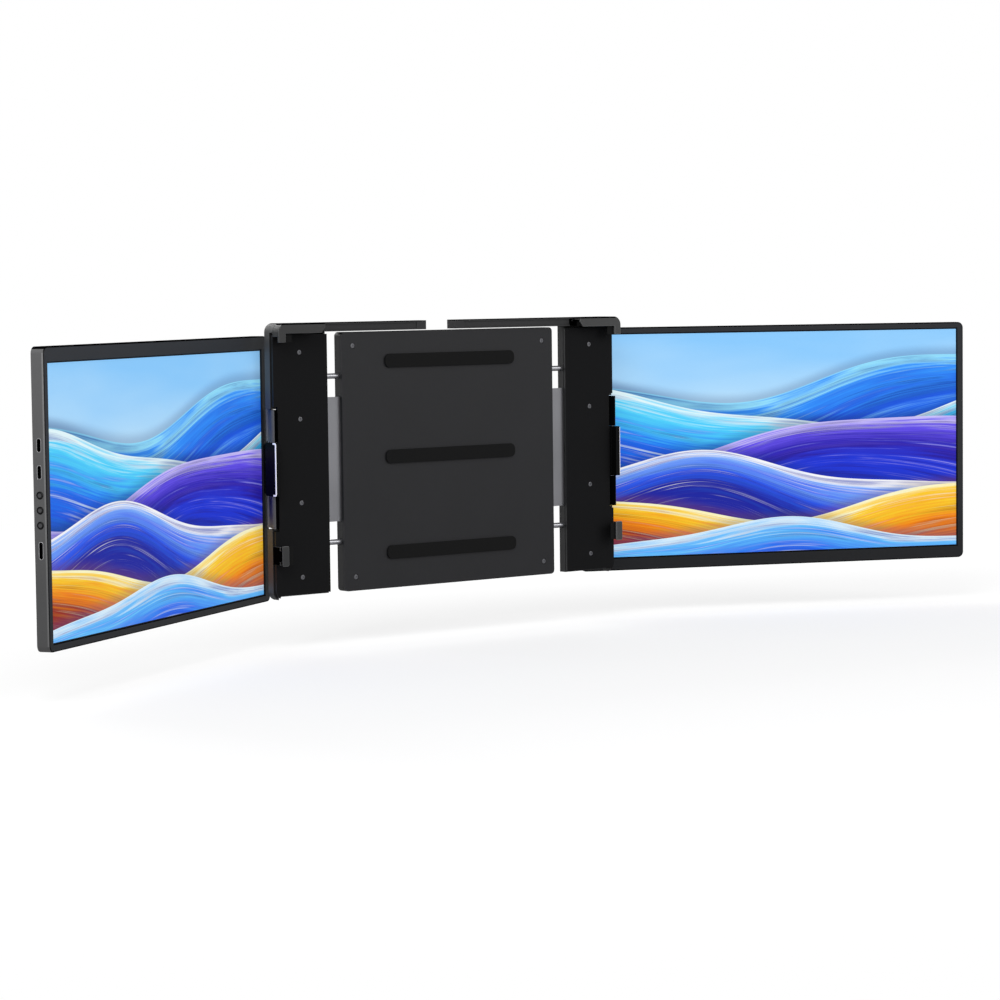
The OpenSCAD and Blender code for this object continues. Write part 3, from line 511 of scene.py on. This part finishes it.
def frame_look(plain, place, inward, normal, finish):
    """Painted light and shade look of a face on one of the frame's pieces, or None. inward is how squarely it
    faces the middle.
    """
    in_recess = inside(place, HINGE_RECESS) and abs(normal.y) < SQUARELY
    # Painted shade, black, in the hinge recess and the screw pocket
    if plain == "side_shell" and (in_recess or inside(place, SCREW_POCKET)):
        return "hollow"
    # Painted light on the shell's outer side, lighter than its front
    if plain == "side_shell" and inward < -MOSTLY and finish == 0:
        return "side"
    # Painted shade in the seam behind the front plates
    in_seam = place[1] > SEAM_Y and abs(normal.y) < PARTLY
    if plain in ("seat_plate", "centre_plate") and in_seam:
        return "hollow"
    # Painted shadow of a laptop lid on the seat plate's front
    if plain == "seat_plate" and normal.y < -SQUARELY and finish == 0:
        return "seat"
    # Painted shade on the hinge arms' inner faces
    if plain == "hinge_arms" and inward > ARM_INNER and normal.y < SQUARELY:
        return "hollow"
    # Painted shade on the clip's inner faces
    if plain == "side_clip" and inward < -PARTLY:
        return "hollow"
    return None


def monitor_look(side, plain, centre, normal):
    """Painted shade look of a face on one of a monitor's pieces, or None."""
    outward, backward = AXES[side]
    depth = REACH[side] - centre.dot(outward)
    # Painted shade deep in the sockets
    if plain in ("usb_sockets", "hdmi_socket") and depth > MOUTH_DEPTH * MM:
        return "hollow"
    # Painted black shade on the shell's faces that look forwards
    if plain == "monitor_shell" and normal.dot(backward) < -PARTLY:
        return "top"
    # Painted shade on the floors round the buttons
    on_floor = BUTTON_FLOOR[0] * MM < depth < BUTTON_FLOOR[1] * MM
    if plain == "monitor_shell" and normal.dot(outward) > PARTLY and on_floor:
        return "hollow"
    return None


def top_look(plain, z, normal, finish):
    """Painted black shade of a face in a piece's top line, or of one that looks upwards on a piece with a
    shaded top, or None.
    """
    in_line = plain in TOP_SHADE_LINE and z > TOP_Z - TOP_SHADE_LINE[plain]
    upwards = MONITOR_UP if plain == "monitor_shell" else SQUARELY
    if finish == 1:
        upwards = SLIGHTLY
    if in_line or (plain in SHADE_ON_TOP and normal.z > upwards):
        return "top"
    return None


def look_of(node, plain, face):
    """Name of the look, painted light and shade, that a face wears instead of its piece's finish (0) or its
    edges' (1), or None.
    """
    centre, normal, finish = face.center, face.normal, face.material_index
    place = (abs(centre.x) / MM, centre.y / MM, centre.z / MM)
    inward = -normal.x if centre.x > 0 else normal.x
    look = frame_look(plain, place, inward, normal, finish)
    if node != plain:
        look = look or monitor_look(side_of(node), plain, centre, normal)
    return look or top_look(plain, place[2], normal, finish)


def cleaned(node):
    """A copy of a node's solid without doubled points and without edges inside its flat faces."""
    mesh = bpy.data.meshes.new(node + "_finished")
    with editing(mesh, frame["nodes"][node].data) as work:
        bmesh.ops.remove_doubles(work, verts=work.verts, dist=WELD * MM)
        bmesh.ops.dissolve_limit(work, angle_limit=math.radians(FLAT_ANGLE), verts=work.verts,
                                 edges=work.edges)
        bmesh.ops.recalc_face_normals(work, faces=work.faces)
        for face in work.faces:
            face.smooth = True
            face.material_index = 0
    return mesh


def round_edges(piece, width):
    """Gives a piece rounded edges, in its second material where it has one."""
    bevel = piece.modifiers.new("edges", "BEVEL")
    bevel.width = width * MM
    bevel.segments = EDGE_STEPS
    bevel.limit_method = "ANGLE"
    bevel.angle_limit = math.radians(EDGE_ANGLE)
    bevel.use_clamp_overlap = True
    if len(piece.data.materials) > 1:
        bevel.material = 1
    bpy.context.view_layer.update()
    shown = piece.evaluated_get(bpy.context.evaluated_depsgraph_get())
    rounded = bpy.data.meshes.new_from_object(shown)
    piece.modifiers.clear()
    piece.data = rounded


def paint_highlight_line(side, mesh):
    """Puts a painted highlight, a lighter line, along the front of a monitor shell's outer side."""
    outward, backward = AXES[side]
    line_end = backward * (min(v.co.dot(backward) for v in mesh.vertices) + HIGHLIGHT_LINE_WIDTH * MM)
    with editing(mesh) as work:
        outer = [face for face in work.faces if face.normal.dot(outward) > EXACTLY]
        parts = outer + list({edge for face in outer for edge in face.edges}) + \
            list({vert for face in outer for vert in face.verts})
        bmesh.ops.bisect_plane(work, geom=parts, plane_co=line_end, plane_no=backward)
        for face in work.faces:
            in_line = (face.calc_center_median() - line_end).dot(backward) < 0
            if face.normal.dot(outward) > EXACTLY and in_line:
                face.material_index = 1


def cut_below_top(mesh, height):
    """Cuts a mesh's faces at the lower end of its painted black shade line along the top."""
    with editing(mesh) as work:
        bmesh.ops.bisect_plane(work, geom=work.verts[:] + work.edges[:] + work.faces[:],
                               plane_co=(0, 0, (TOP_Z - height) * MM), plane_no=(0, 0, 1))


def paint_shade_ring(side, mesh):
    """Puts a ring of painted shade, black, round a button's cap."""
    outward = AXES[side][0]
    with editing(mesh) as work:
        cap = max((face for face in work.faces if face.normal.dot(outward) > SQUARELY),
                  key=lambda face: face.calc_center_median().dot(outward))
        ring = bmesh.ops.inset_individual(work, faces=[cap], thickness=SHADE_RING_WIDTH * MM)["faces"]
        for face in ring:
            face.material_index = 1


def paint_light_and_shade(node, plain, mesh):
    """Puts painted light and shade on single faces of a mesh, as further materials."""
    places = {}
    for face in mesh.polygons:
        name = look_of(node, plain, face)
        if not name:
            continue
        if name not in places:
            places[name] = len(mesh.materials)
            mesh.materials.append(PAINTED_LIGHT_AND_SHADE[name])
        face.material_index = places[name]


def show_dressed(node, plain):
    """Shows a clean copy of a node's solid, with its edges rounded, in the node's place."""
    piece = link(node + "_finished", cleaned(node))
    for finish in MATERIALS[SLOT_OF[node]]:
        piece.data.materials.append(finish)
    round_edges(piece, EDGES[plain])
    if plain == "monitor_shell":
        # Painted highlight along the front of the monitor's outer side
        paint_highlight_line(side_of(node), piece.data)
    if plain.startswith("button"):
        # Painted shade ring round the button's cap
        paint_shade_ring(side_of(node), piece.data)
    # Painted black shade line along the top
    if plain in TOP_SHADE_LINE:
        cut_below_top(piece.data, TOP_SHADE_LINE[plain])
    # Painted light and shade on single faces, as further materials
    paint_light_and_shade(node, plain, piece.data)
    level = piece.modifiers.new("level", "WEIGHTED_NORMAL")
    level.mode = "FACE_AREA"
    level.weight = 100
    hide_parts(node)
    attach(piece, body_of(node))


# ---------- screws: sizes in millimetres ----------

SCREW_STEPS = 36             # points round a screw
LARGE_HEAD = 1.4             # a head of a larger radius is a large screw's
LARGE_SCREW = (0.8, 1.0)     # thickness of the head, and radius of the shank
SMALL_SCREW = (1.2, 0.6)
HEX_SHARE = 0.46             # the hexagonal recess reaches this share of the head's radius
HEX_DEPTH = 0.45
HEX_SIDE = math.radians(60)  # angle that one side of the hexagon spans
HEAD_RIM = ((0.82, 0.0), (0.96, 0.07), (1.0, 0.25))   # its rounding: share of the radius, and depth
ROUNDED = (2, 3, 4)          # steps between a screw's rings that look round: those of the head's rim


def lathe_screw(work, x, z, y0, y1, head_r, head_t, shank_r):
    """Adds a screw along Y, with a rounded head and a hexagonal recess, to a mesh being built."""
    hexagon = head_r * HEX_SHARE
    rings = [(True, hexagon, HEX_DEPTH), (True, hexagon, 0.0)]
    rings += [(False, head_r * share, depth) for share, depth in HEAD_RIM]
    rings += [(False, head_r, head_t), (False, shank_r, head_t), (False, shank_r, y1 - y0)]
    loops = []
    for is_hexagon, radius, depth in rings:
        loop = []
        for i in range(SCREW_STEPS):
            turn = math.tau * i / SCREW_STEPS
            hexed = math.cos(HEX_SIDE / 2) / math.cos(turn % HEX_SIDE - HEX_SIDE / 2)
            r = radius * (hexed if is_hexagon else 1.0)
            loop.append(work.verts.new(((x + r * math.cos(turn)) * MM, (y0 + depth) * MM,
                                        (z + r * math.sin(turn)) * MM)))
        loops.append(loop)
    for number, (inner, outer) in enumerate(zip(loops, loops[1:])):
        for i in range(SCREW_STEPS):
            after = (i + 1) % SCREW_STEPS
            face = work.faces.new((inner[i], inner[after], outer[after], outer[i]))
            face.smooth = number in ROUNDED
    work.faces.new(loops[0])
    work.faces.new(loops[-1])


def solids_of(node):
    """Boxes (low, high) in millimetres of the separate solids in a node."""
    work = bmesh.new()
    work.from_mesh(frame["nodes"][node].data)
    bmesh.ops.remove_doubles(work, verts=work.verts, dist=WELD * MM)
    left = set(work.verts)
    boxes = []
    while left:
        group, queue = set(), [left.pop()]
        while queue:
            vert = queue.pop()
            group.add(vert.co.copy().freeze())
            for edge in vert.link_edges:
                other = edge.other_vert(vert)
                if other in left:
                    left.remove(other)
                    queue.append(other)
        boxes.append(tuple(tuple(pick(v[i] for v in group) / MM for i in range(3)) for pick in (min, max)))
    work.free()
    return sorted(boxes)


def show_screws(node):
    """Shows the node's screws with real heads, in the node's place."""
    mesh = bpy.data.meshes.new(node + "_finished")
    with editing(mesh) as work:
        for low, high in solids_of(node):
            head_r = (high[0] - low[0]) / 2
            head_t, shank_r = LARGE_SCREW if head_r > LARGE_HEAD else SMALL_SCREW
            lathe_screw(work, (low[0] + high[0]) / 2, (low[2] + high[2]) / 2, low[1], high[1],
                        head_r, head_t, shank_r)
        bmesh.ops.recalc_face_normals(work, faces=work.faces)
    mesh.materials.append(MATERIALS["screw_steel"][0])
    piece = link(node + "_finished", mesh)
    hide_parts(node)
    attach(piece, body_of(node))


# ---------- displays ----------

def show_picture(side):
    """Shows a display with its lit picture: a plate as large as its glass, with the picture's coordinates."""
    node = side + "_display_glass"
    outward, backward = AXES[side]
    vertices = vertices_of(node)
    reach = [v.dot(outward) for v in vertices]
    depth = [v.dot(backward) for v in vertices]
    height = [v.z for v in vertices]
    x0, x1, z0, z1 = min(reach), max(reach), min(height), max(height)
    hidden = DARK_EDGE * MM
    mesh = bpy.data.meshes.new(side + "_display")
    with editing(mesh) as work:
        layer = work.loops.layers.uv.new("picture")
        front, back = ([work.verts.new(outward * x + backward * y + Vector((0, 0, z)))
                        for x, z in ((x0, z0), (x1, z0), (x1, z1), (x0, z1))]
                       for y in (min(depth), max(depth)))
        work.faces.new(front)
        work.faces.new(back)
        for i in range(4):
            after = (i + 1) % 4
            work.faces.new((front[i], front[after], back[after], back[i]))
        bmesh.ops.recalc_face_normals(work, faces=work.faces)
        for face in work.faces:
            for loop in face.loops:
                u = (loop.vert.co.dot(outward) - x0 - hidden) / (x1 - x0 - 2 * hidden)
                v = (loop.vert.co.z - z0 - hidden) / (z1 - z0 - 2 * hidden)
                loop[layer].uv = (1 - u if side == "left" else u, v)
    piece = link(side + "_display", mesh)
    mesh.materials.append(MATERIALS["screen"][0])
    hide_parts(node)
    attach(piece, side + "_monitor")


for node in sorted(frame["nodes"]):
    plain = node.removeprefix("left_").removeprefix("right_")
    if plain in EDGES:
        show_dressed(node, plain)
    elif plain in ("frame_screws", "centre_screws"):
        show_screws(node)
    elif plain != "display_glass":
        slots = frame["nodes"][node].data.materials
        slots.clear()
        slots.append(MATERIALS[SLOT_OF[node]][0])
for side in SIDES:
    show_picture(side)


# ---------- studio ----------

FLOOR_Z = -0.135
FLOOR_HALF = 14.0
FLOOR_SHOWN = (0.93, 0.93, 0.93)
FLOOR_GIVEN = (0.5, 0.5, 0.5)    # it throws back less light than it shows, so that undersides stay dark
GLOW_FROM, GLOW_TO = 0.5, 1.2    # distances from the middle between which the floor blends into white
GLOW_LEAST = 0.55                # share of white in its middle
AMBIENT_LIGHT = 0.62

# Lamps: place, point they face, size and power
LAMPS = {
    "key": ((-1.6, -1.2, 1.7), (-0.2, -0.1, 0), (1.4, 1.0), 24),
    "fill": ((1.4, -2.0, 1.0), (0.1, 0, 0), (1.6, 1.2), 16),
    "back": ((0.2, 2.2, 0.9), (0, 0, 0), (2.2, 1.2), 44),
}


def make_floor():
    """A pale floor that the camera sees turning white away from the middle."""
    corners = ((-1, -1), (1, -1), (1, 1), (-1, 1))
    mesh = bpy.data.meshes.new("floor")
    mesh.from_pydata([(x * FLOOR_HALF, y * FLOOR_HALF, FLOOR_Z) for x, y in corners], [], [(0, 1, 2, 3)])
    floor = link("floor", mesh)
    material, g, shader = new_material("floor_white")
    seen = g.add("ShaderNodeLightPath").outputs["Is Camera Ray"]
    g.plug(shader.inputs["Base Color"], g.mix(seen, FLOOR_GIVEN, FLOOR_SHOWN))
    shader.inputs["Roughness"].default_value = 0.9
    shader.inputs["Specular IOR Level"].default_value = 0.0
    place = g.add("ShaderNodeTexCoord").outputs["Object"]
    distance = g.add("ShaderNodeVectorMath", operation="LENGTH")
    g.plug(distance.inputs[0], place)
    far = g.step(distance.outputs["Value"], GLOW_FROM, GLOW_TO, GLOW_LEAST, 1.0)
    glow = g.add("ShaderNodeEmission")
    glow.inputs["Color"].default_value = WHITE
    glow.inputs["Strength"].default_value = 1.0
    blend = g.add("ShaderNodeMixShader")
    g.plug(blend.inputs[0], g.times(far, seen))
    g.plug(blend.inputs[1], shader.outputs[0])
    g.plug(blend.inputs[2], glow.outputs[0])
    g.plug(material.node_tree.nodes["Material Output"].inputs["Surface"], blend.outputs[0])
    mesh.materials.append(material)


def make_world():
    """White to the camera, and a softer light to everything else."""
    world = bpy.data.worlds.new("studio")
    bpy.context.scene.world = world
    world.use_nodes = True
    g = Graph(world.node_tree)
    nodes = world.node_tree.nodes
    ambient = nodes["Background"]
    ambient.inputs["Color"].default_value = WHITE
    ambient.inputs["Strength"].default_value = AMBIENT_LIGHT
    backdrop = g.add("ShaderNodeBackground")
    backdrop.inputs["Color"].default_value = WHITE
    backdrop.inputs["Strength"].default_value = 1.0
    path = g.add("ShaderNodeLightPath")
    seen = g.math("MAXIMUM", path.outputs["Is Camera Ray"], path.outputs["Is Transmission Ray"])
    blend = g.add("ShaderNodeMixShader")
    g.plug(blend.inputs[0], seen)
    g.plug(blend.inputs[1], ambient.outputs[0])
    g.plug(blend.inputs[2], backdrop.outputs[0])
    g.plug(nodes["World Output"].inputs["Surface"], blend.outputs[0])


def softbox(name, at, target, size, power):
    data = bpy.data.lights.new(name, "AREA")
    data.shape = "RECTANGLE"
    data.size, data.size_y = size
    data.energy = power
    lamp = bpy.data.objects.new(name, data)
    bpy.context.scene.collection.objects.link(lamp)
    lamp.location = at
    lamp.rotation_euler = (Vector(target) - Vector(at)).to_track_quat("-Z", "Y").to_euler()


make_floor()
make_world()
for name, (at, target, size, power) in LAMPS.items():
    softbox(name, at, target, size, power)
bpy.context.scene.view_settings.view_transform = "Standard"
